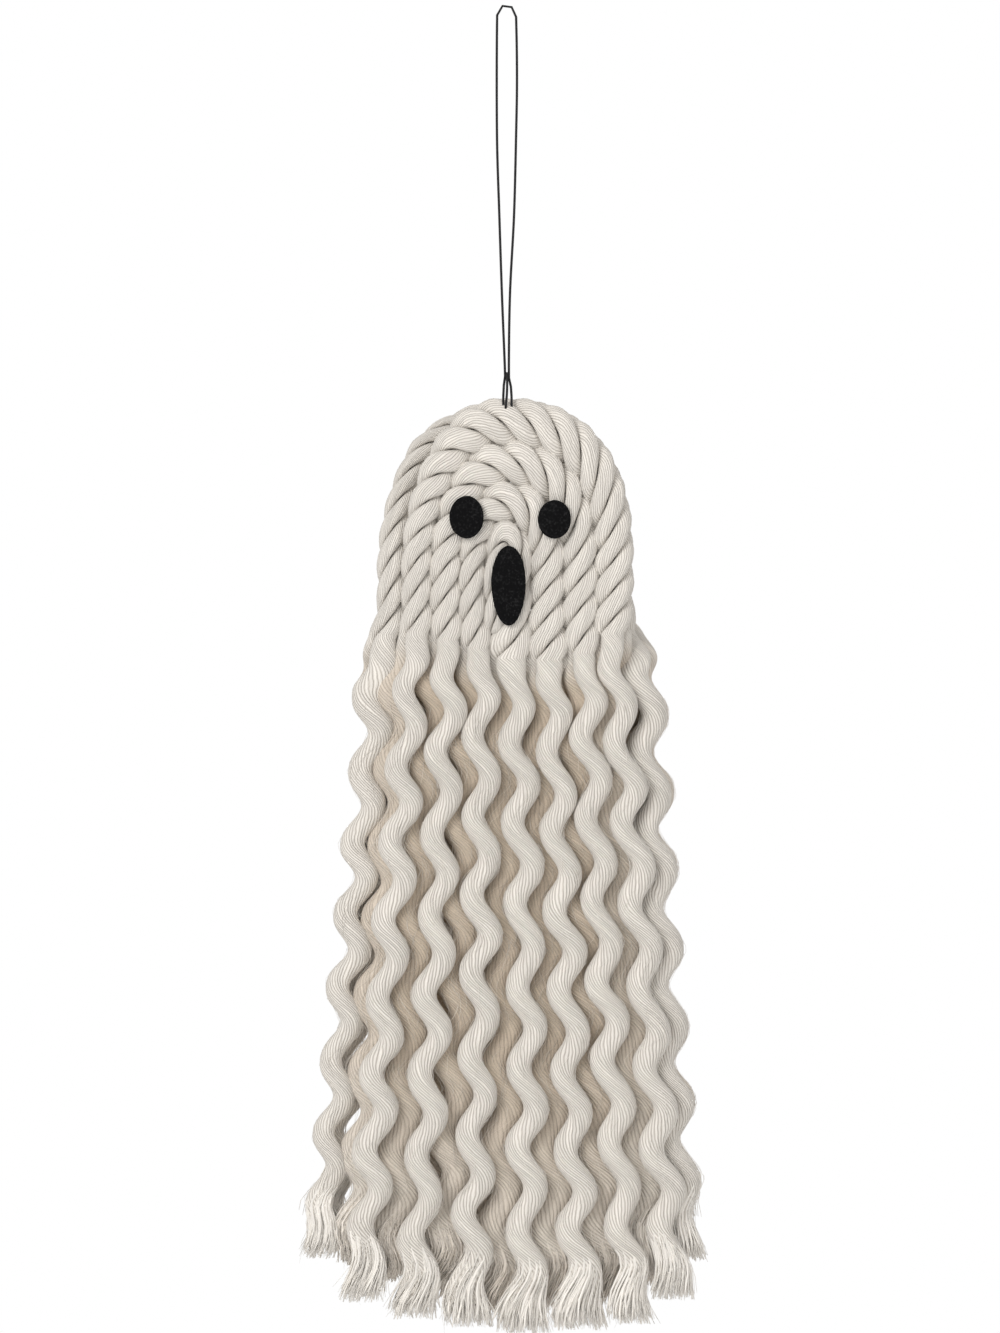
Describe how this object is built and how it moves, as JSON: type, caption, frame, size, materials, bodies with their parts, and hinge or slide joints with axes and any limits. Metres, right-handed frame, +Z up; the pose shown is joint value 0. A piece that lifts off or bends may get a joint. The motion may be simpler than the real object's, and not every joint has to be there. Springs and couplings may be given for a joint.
{
  "type": "hanging ghost ornament",
  "caption": "Hanging ghost of twisted cotton rope: nested arches make the head, wavy strands hang below, with felt eyes and mouth and a thin cord loop.",
  "frame": {"origin": "the hang point, at the inside top of the cord's loop", "axes": "+Z up along the hanging ornament, -Y out of the face, +X to the viewer's right"},
  "size_m": [0.1374, 0.0302, 0.4498],
  "materials": {
    "cotton_strand": "soft matt cream cotton, fine parallel yarns",
    "black_felt": "matt black felt",
    "black_cord": "thin black waxed cord"
  },
  "bodies": {
    "root": {"rope_1_strand_1": "cotton_strand", "rope_1_strand_2": "cotton_strand", "rope_1_strand_3": "cotton_strand", "rope_2_strand_1": "cotton_strand", "rope_2_strand_2": "cotton_strand", "rope_2_strand_3": "cotton_strand", "rope_3_strand_1": "cotton_strand", "rope_3_strand_2": "cotton_strand", "rope_3_strand_3": "cotton_strand", "rope_4_strand_1": "cotton_strand", "rope_4_strand_2": "cotton_strand", "rope_4_strand_3": "cotton_strand", "rope_5_strand_1": "cotton_strand", "rope_5_strand_2": "cotton_strand", "rope_5_strand_3": "cotton_strand", "left_eye": "black_felt", "right_eye": "black_felt", "mouth": "black_felt", "hanging_loop": "black_cord"}
  },
  "joints": []
}
